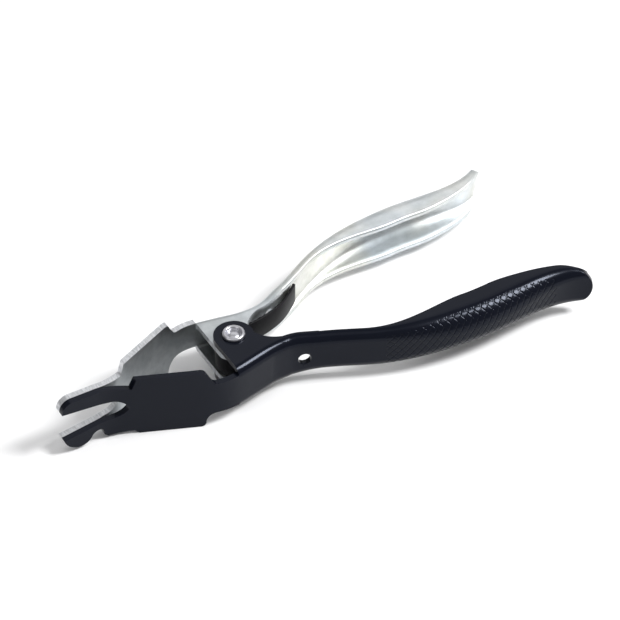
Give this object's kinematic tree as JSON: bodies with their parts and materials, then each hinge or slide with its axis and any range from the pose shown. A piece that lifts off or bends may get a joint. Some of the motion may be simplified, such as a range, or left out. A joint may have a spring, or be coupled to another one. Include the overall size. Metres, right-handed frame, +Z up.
{
  "type": "hose removal pliers",
  "caption": "Spreading pliers with forked pressed-steel jaws, channel handles, a through rivet and a hairpin leaf spring; squeezing the handles parts the jaws.",
  "frame": {"origin": "middle of the footprint of the tool lying on its side, on the plane that the jaw plates rest on", "axes": "+X from the jaws to the handle ends, +Y from the coated lever to the plated lever, +Z up along the rivet"},
  "size_m": [0.219, 0.0822, 0.028],
  "materials": {
    "black_coating": "semi-gloss black coating over pressed steel",
    "zinc_plate": "bright zinc plating with sheared edges",
    "rivet_steel": "bright plated rivet, rolled rim",
    "spring_steel": "dark oil-tempered strip with bare cut ends"
  },
  "bodies": {
    "coated": {"coated_lever": "black_coating", "pivot_rivet": "rivet_steel", "leaf_spring": "spring_steel"},
    "plated": {"plated_lever": "zinc_plate"}
  },
  "joints": [
    {"name": "jaw_pivot", "type": "hinge", "parent": "coated", "child": "plated", "pos_m": [-0.03388, -0.0005, 0.014], "axis": [0, 0, -1], "range_deg": [0, 24], "stiffness_Nm_per_rad": 3, "springref_deg": -5.73, "deforming": ["leaf_spring"]}
  ]
}
